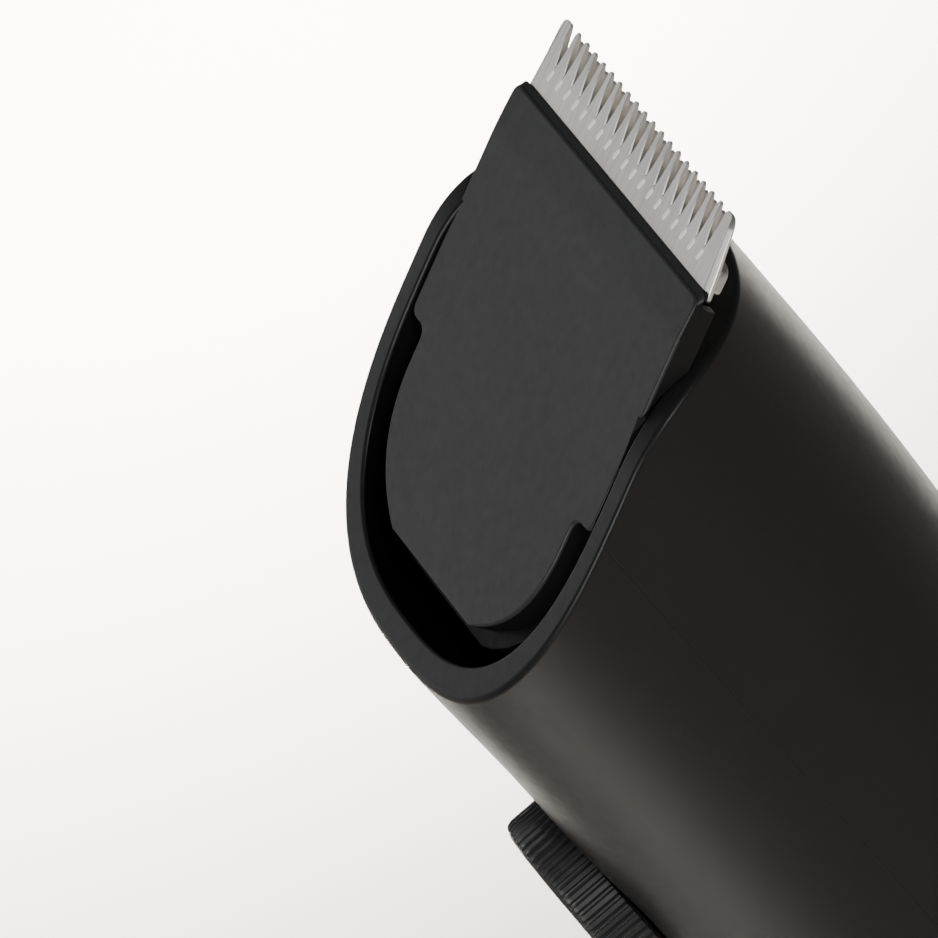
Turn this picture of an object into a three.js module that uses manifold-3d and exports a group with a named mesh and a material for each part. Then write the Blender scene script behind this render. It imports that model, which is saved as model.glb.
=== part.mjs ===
// A hair clipper as an assembly: a two-part body, a lift-off cutting head with a steel comb blade
// and a cutter that a motor's eccentric pin drives, and a dial that raises a comb carriage.
// Millimetres. +Z runs up the body to the head, -Y is the front, X runs across the blade.
// The origin is the middle of the base's flat face.
import * as THREE from "three";
import { mergeVertices } from "three/addons/utils/BufferGeometryUtils.js";
import Module from "manifold-3d";

const wasm = await Module();
wasm.setup();

// Body
const rimFrontZ = 153.8; // lowest point of the oblique rim, at the front
const headHalfX = 24;
const headFrontY = -22.9;
const rimFlare = 0.45; // how far the front swells just below the rim
const headBackY = 22.5;
const gripHalfX = 21;
const gripHalfY = 18.7;
const sectionPower = 2.65; // exponent of the rounded-square section
const wall = 2.7;
const seamY = -3; // plane where the two shells meet
const seamGap = 0.3;
const baseRound = 5;
const capTopZ = 8;
const clear = 0.3; // gap kept between parts that are cut to fit each other
const around = 40; // sides of the body's section

// Rim: a straight ramp, then a curve that levels off behind the head
const rimSlope = 0.59;
const rimRampEndY = 2;
const rimBackRise = 15.5;

// Cutting head, in its own frame: origin on the cover's plane, +Y towards the teeth, +Z outwards
const headAngle = Math.atan(0.5824);
const headOriginZ = rimFrontZ + 13.2;
const coverHalfX = 20.9;
const tongueHalfX = 17.7;
const tongueFlatHalfX = 8.9;
const coverFrontY = -19.44;
const coverNotchY = -3.82;
const coverBendY = 15.33;
const coverEndY = 20.1;
const skirtEndY = 18.7; // the skirt stops here, clear of the blade's shoulders
const coverPlate = 0.9;
const coverSkirt = 1.2;
const skirtDepth = 2.4;
const coverCorner = 1.1;
const lipReach = 1.7; // how far the base's lip stands out under the tongue
const lipThick = 0.55;
const bladeTopZ = -1;
const bladeThick = 0.9;
const bladeTipY = 27;
const bladeHalfX = 20.4;
const bladeShoulderY = 19;
const bladeTipHalfX = 19.6;
const bladeRootY = 23.1;
const slotCount = 19;
const slotPitch = 1.9;
const cutterTopZ = bladeTopZ - bladeThick - clear;
const cutterThick = 1;
const cutterHalfX = 17.6;
const cutterEarHalfX = 19.2;
const cutterEarLowY = 19.3;
const cutterEarTopY = 22.3;
const cutterTailHalfX = 16.4;
const cutterTipY = 25.9;
const baseTopZ = -2.2;
const baseBottomZ = -7.2;
const recessFloorZ = -4.5;
const recessHalfX = 19.6;
const plugBottomZ = rimFrontZ - 6.8;

// Drive
const motorY = 5;
const motorRadius = 12;
const motorTopZ = 132;
const motorLowZ = 100;
const shaftRadius = 1.15;
const pinRadius = 1;
const eccentricity = 0.9;
const stroke = 0.9;
const slotHalfX = pinRadius + eccentricity + stroke + 0.2;

// Dial, pinion and comb carriage
const dialZ = rimFrontZ - 35.4;
const dialRadius = 10;
const dialFrontY = -27;
const dialBackY = -22.3;
const gearModule = 0.8;
const pinionTeeth = 14;
const pitchRadius = (gearModule * pinionTeeth) / 2;
const rackTopZ = 139.2; // stays under the head's lip when the comb is all the way up
const gearFrontY = -18;
const gearBackY = -16;

// Button and charging socket
const buttonZ = 85;
const buttonRadius = 5.7;
const lensZ = 66;
const socketZ = 17;

function material(color, roughness, metalness = 0) {
  return new THREE.MeshStandardMaterial({ color, roughness, metalness });
}

const matteBlack = material(0x202021, 0.42);
const coverGrey = material(0x3e3e3f, 0.5);
const innerBlack = material(0x161617, 0.6);
const dialBlack = material(0x262627, 0.55);
const bladeSteel = material(0xb4b1ac, 0.28, 1);
const springSteel = material(0x9a9a98, 0.3, 1);
const motorSteel = material(0x8d8f90, 0.35, 1);
const magnetGrey = material(0x34363a, 0.5, 0.4);
const copper = material(0xa8623a, 0.35, 1);
const nickel = material(0xb9bab6, 0.3, 1);
const cellBlue = material(0x2f5f8c, 0.5);
const boardGreen = material(0x1d5a38, 0.55);
const rubber = material(0x1b1b1b, 0.8);
const whiteNylon = material(0xd9d7cf, 0.5);
const clearLens = material(0xcfd6cf, 0.15);

// Solids: three.js geometry in, three.js geometry out, joined and cut as solids in between
function solid(geometry) {
  const bare = geometry.clone();
  bare.deleteAttribute("normal");
  bare.deleteAttribute("uv");
  const merged = mergeVertices(bare, 1e-4);
  const vertProperties = merged.attributes.position.array;
  const triVerts = new Uint32Array(merged.index.array);
  return new wasm.Manifold(new wasm.Mesh({ numProp: 3, vertProperties, triVerts }));
}

function geometry(body) {
  const { vertProperties, triVerts } = body.getMesh();
  const made = new THREE.BufferGeometry();
  made.setAttribute("position", new THREE.BufferAttribute(vertProperties, 3));
  made.setIndex(new THREE.BufferAttribute(triVerts, 1));
  const flat = made.toNonIndexed();
  flat.computeVertexNormals();
  return flat;
}

function join(first, ...others) {
  return others.reduce((whole, next) => whole.add(next), first);
}

function cut(first, ...others) {
  return others.reduce((whole, next) => whole.subtract(next), first);
}

function box(x0, x1, y0, y1, z0, z1) {
  const block = new THREE.BoxGeometry(x1 - x0, y1 - y0, z1 - z0);
  return solid(block.translate((x0 + x1) / 2, (y0 + y1) / 2, (z0 + z1) / 2));
}

function rodZ(radius, z0, z1, x = 0, y = 0, sides = 24) {
  const rod = new THREE.CylinderGeometry(radius, radius, z1 - z0, sides).rotateX(Math.PI / 2);
  return solid(rod.translate(x, y, (z0 + z1) / 2));
}

function rodY(radius, y0, y1, x = 0, z = 0, sides = 24) {
  const rod = new THREE.CylinderGeometry(radius, radius, y1 - y0, sides);
  return solid(rod.translate(x, (y0 + y1) / 2, z));
}

function prism(shape, z0, z1, curveSegments = 8) {
  const settings = { depth: z1 - z0, bevelEnabled: false, curveSegments };
  return solid(new THREE.ExtrudeGeometry(shape, settings).translate(0, 0, z0));
}

// A side view drawn in (Y, Z) and extruded along X
function sidePrism(shape, x0, x1, curveSegments = 8) {
  const settings = { depth: x1 - x0, bevelEnabled: false, curveSegments };
  const turn = new THREE.Matrix4().makeBasis(
    new THREE.Vector3(0, 1, 0),
    new THREE.Vector3(0, 0, 1),
    new THREE.Vector3(1, 0, 0),
  );
  return solid(new THREE.ExtrudeGeometry(shape, settings).applyMatrix4(turn).translate(x0, 0, 0));
}

// A shape that is the same on both sides of X = 0, from the path of its +X half
function mirrored(half, divisions = 8) {
  const right = half.getPoints(divisions);
  const left = right.filter((p) => p.x > 1e-6).map((p) => new THREE.Vector2(-p.x, p.y));
  return new THREE.Shape([...right, ...left.reverse()]);
}

const bodyGroup = new THREE.Group();
const headGroup = new THREE.Group();
headGroup.position.set(0, 0, headOriginZ);
headGroup.rotation.x = headAngle;
headGroup.updateMatrixWorld(true);
const toHead = headGroup.matrixWorld.clone().invert();

function add(name, shape, look, group = bodyGroup) {
  const mesh = new THREE.Mesh(shape.isBufferGeometry ? shape : geometry(shape), look);
  mesh.name = name;
  group.add(mesh);
}

// A solid made in the body's frame, brought into the head's frame
function inHead(body) {
  return solid(geometry(body).applyMatrix4(toHead));
}

// Half-width and front and back of the body's section at height z
function sectionAt(z) {
  const { lerp, smoothstep } = THREE.MathUtils;
  const halfX = lerp(gripHalfX, headHalfX, smoothstep(z, 40, 128));
  const swell = rimFlare * smoothstep(z, 136, rimFrontZ);
  const front = lerp(-gripHalfY, headFrontY, smoothstep(z, 30, 115)) - swell;
  const back = lerp(gripHalfY, headBackY, smoothstep(z, 70, 152));
  return { halfX, halfY: (back - front) / 2, middleY: (back + front) / 2 };
}

// The body's rounded-square form between two heights, pulled in by inset
function bodyForm(inset, z0, z1, rings = 10) {
  const form = new THREE.CylinderGeometry(1, 1, 1, around, rings).rotateX(Math.PI / 2);
  const spots = form.attributes.position;
  for (let i = 0; i < spots.count; i++) {
    const z = z0 + (spots.getZ(i) + 0.5) * (z1 - z0);
    const dip = Math.max(0, baseRound - z);
    const pull = inset + baseRound - Math.sqrt(baseRound ** 2 - dip ** 2);
    const { halfX, halfY, middleY } = sectionAt(z);
    const [x, y] = [spots.getX(i), spots.getY(i)];
    const reach = Math.hypot(x, y) > 0.5 ? 1 : 0;
    const soften = (v) => Math.sign(v) * Math.abs(v) ** (2 / sectionPower);
    spots.setXYZ(
      i,
      reach * soften(x) * (halfX - pull),
      reach * soften(y) * (halfY - pull) + middleY,
      z,
    );
  }
  return solid(form);
}

// Everything above the rim, or below it where below is true, lifted by rise
function rimSide(rise = 0, below = false) {
  const farY = 40;
  const level = below ? 60 : 220;
  const rampZ = (y) => rimFrontZ + rise + rimSlope * (y - headFrontY);
  const backZ = rimFrontZ + rise + rimBackRise;
  const shape = new THREE.Shape();
  shape.moveTo(-farY, rampZ(-farY));
  shape.lineTo(rimRampEndY, rampZ(rimRampEndY));
  shape.bezierCurveTo(9, rampZ(9), 15, backZ + 1.6, headBackY, backZ);
  shape.lineTo(farY, backZ);
  shape.lineTo(farY, level);
  shape.lineTo(-farY, level);
  return sidePrism(shape, -40, 40, 12);
}

const aboveRim = rimSide();
const caseBosses = [-13.6, 13.6];
const caseScrewZ = 28;
const chassisBosses = [-1, 1];
const chassisScrewX = 17;
const chassisScrewY = -7.5;

// Both shells before they are parted at the seam
function tube() {
  const outside = bodyForm(0, capTopZ + clear, 185, 12);
  const inside = bodyForm(wall, capTopZ, 186, 8);
  return cut(outside, inside, aboveRim);
}

function frontShell() {
  let shell = tube();
  const within = bodyForm(1, capTopZ + 1, 140, 4);
  for (const x of caseBosses) {
    shell = shell.add(rodY(2.8, -17.6, seamY - 1, x, caseScrewZ, 16).intersect(within));
  }
  for (const side of chassisBosses) {
    const lug = box(-3.4, 5, -4, 4, 120, motorTopZ - clear);
    const spread = side > 0 ? lug : solid(geometry(lug).rotateZ(Math.PI));
    const placed = spread.translate([side * chassisScrewX, chassisScrewY, 0]);
    shell = shell.add(placed.intersect(within));
  }
  shell = cut(shell, box(-40, 40, seamY - seamGap / 2, 40, -1, 200));
  for (const x of caseBosses) shell = shell.subtract(rodY(1.5, -12, 0, x, caseScrewZ, 12));
  for (const side of chassisBosses) {
    shell = shell.subtract(rodZ(1.4, 122, 133, side * chassisScrewX, chassisScrewY, 12));
  }
  return cut(
    shell,
    rodY(dialRadius + 0.5, -30, dialBackY + clear, 0, dialZ, 48),
    rodY(2.4, -30, 0, 0, dialZ),
    rodY(buttonRadius + 0.3, -30, -15, 0, buttonZ, 32),
    rodY(1.7, -30, -15, 0, lensZ, 16),
  );
}

function rearShell() {
  let shell = tube();
  for (const x of caseBosses) shell = shell.add(rodY(4.2, seamY, 17, x, caseScrewZ, 20));
  shell = shell.intersect(bodyForm(0, capTopZ + clear, 185, 12));
  shell = cut(shell, box(-40, 40, -40, seamY + seamGap / 2, -1, 200));
  for (const x of caseBosses) {
    shell = shell.subtract(rodY(1.6, -10, 30, x, caseScrewZ, 12));
    shell = shell.subtract(rodY(3, 4, 30, x, caseScrewZ, 20));
  }
  return shell.subtract(box(-5, 5, 10, 30, socketZ - 1.8, socketZ + 1.8));
}

function baseCap() {
  const foot = bodyForm(0, 0, capTopZ, 6);
  const collar = bodyForm(wall + clear, capTopZ - 1, capTopZ + 4, 2);
  const well = bodyForm(wall + 1.7, 2.4, capTopZ + 5, 3);
  return cut(foot.add(collar), well);
}

// The frame that carries the motor and closes the bay under the head
function chassis() {
  const floor = bodyForm(wall + clear, motorTopZ + clear, motorTopZ + 2.3, 1);
  const collar = rodZ(14, 120, motorTopZ + 1, 0, motorY, 40);
  const within = bodyForm(wall + clear, 110, 140, 2);
  let frame = floor.add(collar.intersect(within));
  frame = cut(
    frame,
    rodZ(motorRadius + 0.7, 119, motorTopZ + clear, 0, motorY, 40),
    rodZ(6.4, 119, 140, 0, motorY),
    box(4.1, 9.4, -19, -15.2, 100, 150),
  );
  for (const side of chassisBosses) {
    frame = frame.subtract(rodZ(1.6, 119, 140, side * chassisScrewX, chassisScrewY, 12));
    frame = frame.subtract(rodZ(1.3, 119, 140, side * 9, motorY, 12));
  }
  return frame;
}

// A screw pointing down, its head's underside at the origin
function screw(radius, length, headRadius, headHeight) {
  const recess = box(-headRadius * 0.6, headRadius * 0.6, -0.3, 0.3, headHeight * 0.5, 9);
  const cross = recess.add(box(-0.3, 0.3, -headRadius * 0.6, headRadius * 0.6, headHeight * 0.5, 9));
  const body = rodZ(radius, -length, 0.01, 0, 0, 8).add(rodZ(headRadius, 0, headHeight, 0, 0, 12));
  return geometry(body.subtract(cross));
}

function buildBody() {
  add("front_shell", frontShell(), matteBlack);
  add("rear_shell", rearShell(), matteBlack);
  add("base_cap", baseCap(), matteBlack);
  add("chassis", chassis(), innerBlack);
  for (const side of chassisBosses) {
    const end = side < 0 ? "left" : "right";
    const chassisScrew = screw(1.1, 9, 2.4, 1.4);
    chassisScrew.translate(side * chassisScrewX, chassisScrewY, motorTopZ + 2.4);
    add("chassis_screw_" + end, chassisScrew, nickel);
    const motorScrew = screw(1, 3.6, 2, 1.2);
    motorScrew.translate(side * 9, motorY, motorTopZ + 2.4);
    add("motor_screw_" + end, motorScrew, nickel);
    const caseScrew = screw(1.2, 13, 2.5, 1.5).rotateX(-Math.PI / 2);
    caseScrew.translate(side * caseBosses[1], 4.1, caseScrewZ);
    add("case_screw_" + end, caseScrew, nickel);
  }
}

function buildMotor() {
  const [low, top, thin] = [motorLowZ, motorTopZ, 0.8];
  const can = cut(
    rodZ(motorRadius, low, top, 0, motorY, 40),
    rodZ(motorRadius - thin, low - 1, top - thin, 0, motorY, 40),
    rodZ(3.8, low, top + 1, 0, motorY),
    rodZ(1.3, top - 2, top + 1, -9, motorY, 12),
    rodZ(1.3, top - 2, top + 1, 9, motorY, 12),
  );
  add("motor_can", can, motorSteel);
  const bush = cut(rodZ(3.5, top - 3, top + 1.8, 0, motorY), rodZ(shaftRadius + 0.1, 90, 140, 0, motorY, 20));
  add("motor_bushing", bush, copper);
  const bell = cut(
    join(rodZ(motorRadius - 0.3, low - 3, low - 0.2, 0, motorY, 40), rodZ(5, low - 5, low - 3, 0, motorY)),
    rodZ(shaftRadius + 0.3, low - 3.5, low, 0, motorY, 20),
  );
  add("motor_end_bell", bell, whiteNylon);
  for (const side of [-1, 1]) {
    const arc = new THREE.Shape();
    const spread = 1.05; // half-angle of each magnet, in radians
    const facing = side > 0 ? 0 : Math.PI;
    arc.absarc(0, 0, 10.9, facing - spread, facing + spread, false);
    arc.absarc(0, 0, 9.9, facing + spread, facing - spread, true);
    const magnet = prism(arc, low + 4, top - 6, 12).translate([0, motorY, 0]);
    add(side < 0 ? "magnet_left" : "magnet_right", magnet, magnetGrey);
  }
  const seal = cut(
    rodZ(6.1, motorTopZ + 0.9, motorTopZ + 3.4, 0, motorY, 32),
    rodZ(4, 120, 140, 0, motorY),
  );
  add("drive_seal", seal, rubber);
}

function buildRotor() {
  add("motor_shaft", rodZ(shaftRadius, motorLowZ - 3, 140, 0, motorY, 20), nickel);
  const core = cut(
    rodZ(9.4, motorLowZ + 5, motorTopZ - 7, 0, motorY, 36),
    rodZ(shaftRadius + 0.2, 90, 140, 0, motorY, 20),
  );
  const slots = [0, 1, 2].map((i) => {
    const groove = box(-1.1, 1.1, 5, 12, 90, 140);
    return groove.rotate([0, 0, 120 * i]).translate([0, motorY, 0]);
  });
  add("armature", cut(core, ...slots), copper);
  const pinY = motorY + eccentricity;
  const hub = cut(
    rodZ(4.8, 136, 143, 0, motorY, 32),
    rodZ(shaftRadius + 0.2, 135, 140.2, 0, motorY, 20),
    rodZ(pinRadius + 0.2, 140.7, 144, 0, pinY, 20),
  );
  add("eccentric_hub", hub, whiteNylon);
  add("drive_pin", rodZ(pinRadius, 140.8, 152, 0, pinY, 20), nickel);
}

function buildPower() {
  const [cellLow, cellTop, cellRadius] = [16, 81, 9.15];
  const cell = cut(
    join(rodZ(cellRadius, cellLow, cellTop, 0, 0, 36), rodZ(3, cellTop - 1, cellTop + 1, 0, 0, 20)),
    box(-10, 10, -10, 10, cellLow - 1, cellLow - 0.5),
  );
  add("battery_cell", cell, cellBlue);
  const cradle = new THREE.Shape();
  cradle.absarc(0, 0, 10.8, 0.25, Math.PI - 0.25, false);
  cradle.absarc(0, 0, 9.5, Math.PI - 0.25, 0.25, true);
  add("battery_holder", prism(cradle, 34, 78, 20), innerBlack);
  const topTab = box(-3, 3, -12.6, 3, cellTop + 1.2, cellTop + 1.5);
  add("battery_tab_top", topTab.add(box(-3, 3, -12.9, -12.6, cellTop - 4, cellTop + 1.5)), nickel);
  const lowTab = box(-3, 3, -12.6, 4, cellLow - 0.5, cellLow - 0.2);
  add("battery_tab_bottom", lowTab.add(box(-3, 3, -12.9, -12.6, cellLow - 0.5, 42)), nickel);
  add("circuit_board", box(-10.8, 10.8, -14.4, -13.1, 36, 105), boardGreen);
  const body = box(-3, 3, -15.9, -14.5, buttonZ - 3, buttonZ + 3);
  add("tact_switch", body.add(rodY(1.7, -16.5, -15.8, 0, buttonZ, 20)), innerBlack);
  add("indicator_led", box(-1, 1, -15.3, -14.5, lensZ - 0.8, lensZ + 0.8), whiteNylon);
  const lensFront = sectionAt(lensZ).middleY - sectionAt(lensZ).halfY;
  add("indicator_lens", rodY(1.4, lensFront + 0.1, -15.6, 0, lensZ, 24), clearLens);
  const socket = cut(
    box(-4.6, 4.6, 10.5, 18.4, socketZ - 1.5, socketZ + 1.5),
    box(-3.6, 3.6, 12.5, 19, socketZ - 0.9, socketZ + 0.9),
  );
  add("charge_socket", socket, nickel);
}

// The button is a round cap with a flange inside the wall
function buildButton() {
  const wallY = sectionAt(buttonZ).middleY - sectionAt(buttonZ).halfY;
  const cap = rodY(buttonRadius, wallY - 0.7, -17.9, 0, buttonZ, 40);
  const flange = rodY(buttonRadius + 1, -18.3, -17.3, 0, buttonZ, 40);
  add("power_button", cap.add(flange), dialBlack);
}

// Involute gear outline with a little backlash
function pinionShape() {
  const pressure = THREE.MathUtils.degToRad(20);
  const baseRadius = pitchRadius * Math.cos(pressure);
  const tipRadius = pitchRadius + gearModule * 0.85;
  const rootRadius = pitchRadius - gearModule * 1.15;
  const backlash = 0.02; // radians taken off each flank
  const roll = (r) => Math.sqrt(Math.max(0, (r / baseRadius) ** 2 - 1));
  const lag = (r) => roll(r) - Math.atan(roll(r));
  const halfTooth = Math.PI / (2 * pinionTeeth) - backlash + lag(pitchRadius);
  const radii = [0, 1, 2, 3].map((i) => baseRadius + ((tipRadius - baseRadius) * i) / 3);
  const points = [];
  for (let tooth = 0; tooth < pinionTeeth; tooth++) {
    const middle = (2 * Math.PI * tooth) / pinionTeeth;
    const spot = (r, angle) => new THREE.Vector2(r * Math.cos(angle), r * Math.sin(angle));
    points.push(spot(rootRadius, middle - halfTooth));
    for (const r of radii) points.push(spot(r, middle - halfTooth + lag(r)));
    for (const r of [...radii].reverse()) points.push(spot(r, middle + halfTooth - lag(r)));
    points.push(spot(rootRadius, middle + halfTooth));
  }
  return new THREE.Shape(points);
}

function buildDial() {
  const edge = 1;
  const profile = new THREE.Path();
  profile.moveTo(0, 0);
  profile.lineTo(dialRadius, 0);
  profile.lineTo(dialRadius, dialBackY - dialFrontY - edge);
  profile.absarc(dialRadius - edge, dialBackY - dialFrontY - edge, edge, 0, Math.PI / 2, false);
  profile.lineTo(0, dialBackY - dialFrontY);
  const round = new THREE.LatheGeometry(profile.getPoints(3), 40).rotateX(Math.PI);
  const knob = solid(round.translate(0, dialBackY, dialZ));
  add("dial_knob", knob.subtract(rodY(2.2, dialFrontY + 1.6, -20, 0, dialZ)), dialBlack);
  add("dial_shaft", rodY(2, dialFrontY + 1.7, -14.6, 0, dialZ), whiteNylon);
  // The gear's outline lies in the X-Z plane: +Y of the drawing becomes +Z
  const settings = { depth: gearBackY - gearFrontY, bevelEnabled: false };
  const wheel = new THREE.ExtrudeGeometry(pinionShape(), settings).rotateX(Math.PI / 2);
  const gear = solid(wheel.translate(0, gearBackY, dialZ));
  add("dial_pinion", gear.subtract(rodY(2.2, -19, -15, 0, dialZ)), whiteNylon);
  const clip = cut(
    rodY(3.6, -15.7, -15.1, 0, dialZ, 20),
    rodY(2.2, -16, -15, 0, dialZ, 20),
    box(-1.4, 1.4, -16, -15, dialZ - 4, dialZ),
  );
  add("dial_clip", clip, springSteel);
  const leaf = new THREE.Shape();
  leaf.moveTo(-12.2, 110);
  leaf.lineTo(-11.8, 110);
  leaf.lineTo(-10.8, dialZ - 2);
  leaf.lineTo(-7.1, dialZ);
  leaf.lineTo(-10.8, dialZ + 2);
  leaf.lineTo(-11.8, 127);
  leaf.lineTo(-12.2, 127);
  leaf.lineTo(-11.2, dialZ + 2.1);
  leaf.lineTo(-7.9, dialZ);
  leaf.lineTo(-11.2, dialZ - 2.1);
  const strip = new THREE.ExtrudeGeometry(leaf, { depth: 1.6, bevelEnabled: false });
  add("dial_detent", solid(strip.rotateX(Math.PI / 2).translate(0, -15.2, 0)), springSteel);
}

// Rack teeth on the carriage's -X side, in mesh with the pinion's +X side at rest
function rackShape(low, top) {
  const pitch = Math.PI * gearModule;
  const tipX = pitchRadius - gearModule * 0.85;
  const rootX = pitchRadius + gearModule * 1.2;
  const lean = Math.tan(THREE.MathUtils.degToRad(20));
  const play = 0.1; // taken off each flank
  const shape = new THREE.Shape();
  shape.moveTo(8.8, low);
  const first = Math.ceil((low - dialZ) / pitch + 0.5);
  const last = 1; // the row ends just above the pinion, where the carriage rests
  shape.lineTo(rootX, low);
  for (let i = first; i <= last; i++) {
    const middle = dialZ + (i + 0.5) * pitch;
    const atPitch = pitch / 4 - play;
    const half = (x) => atPitch + (x - pitchRadius) * lean;
    shape.lineTo(rootX, middle - half(rootX));
    shape.lineTo(tipX, middle - half(tipX));
    shape.lineTo(tipX, middle + half(tipX));
    shape.lineTo(rootX, middle + half(rootX));
  }
  shape.lineTo(rootX, top);
  shape.lineTo(8.8, top);
  return shape;
}

function buildCarriage() {
  const floorZ = motorTopZ + 4.4;
  const insideTop = rimSide(-4.6);
  const ring = cut(
    bodyForm(wall + 0.4, floorZ, 175, 3),
    bodyForm(wall + 1.6, floorZ - 1, 176, 3),
    box(-40, 40, seamY - 0.9, 40, 100, 200),
    insideTop,
  );
  const rack = new THREE.ExtrudeGeometry(rackShape(101, rackTopZ), { depth: 2, bevelEnabled: false });
  const arm = solid(rack.rotateX(Math.PI / 2).translate(0, gearBackY, 0));
  add("comb_carriage", ring.add(arm), innerBlack);
}

function coverShape(inset, endY) {
  const [wide, slim, notch] = [coverHalfX - inset, tongueHalfX - inset, coverNotchY + inset];
  const half = new THREE.Path();
  half.moveTo(wide - coverCorner, endY);
  half.quadraticCurveTo(wide, endY, wide, endY - coverCorner);
  half.lineTo(wide, notch + 1.2);
  half.quadraticCurveTo(wide, notch, wide - 1.2, notch);
  half.lineTo(slim + 1.4, notch);
  half.quadraticCurveTo(slim, notch, slim, notch - 1.4);
  half.lineTo(slim, -6.8);
  half.bezierCurveTo(slim, -13, 14.6 - inset, -17 + inset, tongueFlatHalfX, coverFrontY + inset);
  return mirrored(half, 7);
}

// Where the head may not go: the body's wall below the rim, with room around it
function wallRoom() {
  return inHead(cut(rimSide(0.4, true), bodyForm(wall + 0.5, 90, 190, 4)));
}

function headCover(room) {
  const outer = prism(coverShape(0, coverEndY), -skirtDepth, 0);
  const hollow = prism(coverShape(coverSkirt, coverEndY + 5), -9, -coverPlate);
  const facet = new THREE.Shape();
  facet.moveTo(coverBendY, 0);
  facet.lineTo(coverEndY - 0.6, -0.26);
  facet.lineTo(coverEndY, -coverPlate);
  facet.lineTo(coverEndY + 2, -coverPlate);
  facet.lineTo(coverEndY + 2, 2);
  facet.lineTo(coverBendY, 2);
  const shoulders = box(-40, 40, skirtEndY, 40, -9, -coverPlate);
  return cut(outer, hollow, shoulders, sidePrism(facet, -30, 30), room);
}

function headBase(room) {
  const gap = coverSkirt + clear;
  const lipTop = -skirtDepth - 0.1;
  const plate = prism(coverShape(gap, 18.5), lipTop - lipThick, baseTopZ);
  const lipShape = prism(coverShape(-lipReach, 18.5), lipTop - lipThick, lipTop);
  const clearOfRing = inHead(bodyForm(wall + 2.2 + rimFlare, plugBottomZ, 190, 3));
  const lip = lipShape.intersect(box(-40, 40, -40, coverNotchY - 1.4, -20, 0)).intersect(clearOfRing);
  const mouth = inHead(bodyForm(wall + 0.5, plugBottomZ, 190, 3));
  const deepHalfX = coverHalfX - gap - 0.8;
  const deep = mouth.intersect(box(-deepHalfX, deepHalfX, -2, 18.5, baseBottomZ, baseTopZ));
  const under = inHead(join(
    bodyForm(wall + 0.5, plugBottomZ, 190, 3).intersect(box(-30, 30, -2.5, 30, 140, 190)),
    box(-12, 12, -11, -2, plugBottomZ, 190),
  ));
  const aboveBase = box(-40, 40, -60, 60, baseBottomZ + 0.5, 60);
  const core = bodyForm(wall + 2, plugBottomZ - 1, 190, 3);
  const hollow = inHead(core.intersect(box(-30, 30, -1, 30, 140, 190)));
  const belowFloor = box(-40, 40, -60, 60, baseBottomZ - 1.5, 60);
  const driverRoom = inHead(box(-6, 6, 0.6, 9.4, 140, 190)).subtract(box(-40, 40, -60, 60, -3.1, 60));
  return cut(
    join(plate, lip, deep, under.subtract(aboveBase)),
    hollow.subtract(belowFloor),
    room,
    box(-recessHalfX, recessHalfX, 11.8, 21, recessFloorZ, 0),
    box(-6, 6, 1.5, 21, -6, -3.1),
    driverRoom,
    ...[-14.5, 14.5].map((x) => rodZ(1.4, -20, 0, x, 10, 12).add(rodZ(2.3, -20, baseBottomZ, x, 10, 16))),
    box(-40, 40, 17.6, 40, -60, recessFloorZ).intersect(inHead(box(-40, 40, 19.2, 60, 100, 250))),
  );
}

// Half of a toothed edge: slots with pointed roots that open out between round-tipped teeth
function toothedEdge(tipY, rootY, count, slotHalf) {
  const half = new THREE.Path();
  const offset = count % 2 === 1 ? 0 : 0.5;
  const slots = Math.ceil(count / 2);
  const tipRound = 0.32;
  const widestY = tipY - 2.4 * tipRound;
  const bellyY = (rootY + tipY) / 2;
  half.moveTo(0, offset ? tipY : rootY);
  for (let i = 0; i < slots; i++) {
    const x = (i + offset) * slotPitch;
    if (i + offset > 0) {
      half.lineTo(x - slotHalf - tipRound, tipY);
      half.quadraticCurveTo(x - slotHalf, tipY, x - slotHalf, widestY);
      half.lineTo(x - slotHalf * 0.85, bellyY);
      half.lineTo(x, rootY);
    }
    half.lineTo(x + slotHalf * 0.85, bellyY);
    half.lineTo(x + slotHalf, widestY);
    half.quadraticCurveTo(x + slotHalf, tipY, x + slotHalf + tipRound, tipY);
  }
  return half;
}

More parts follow.
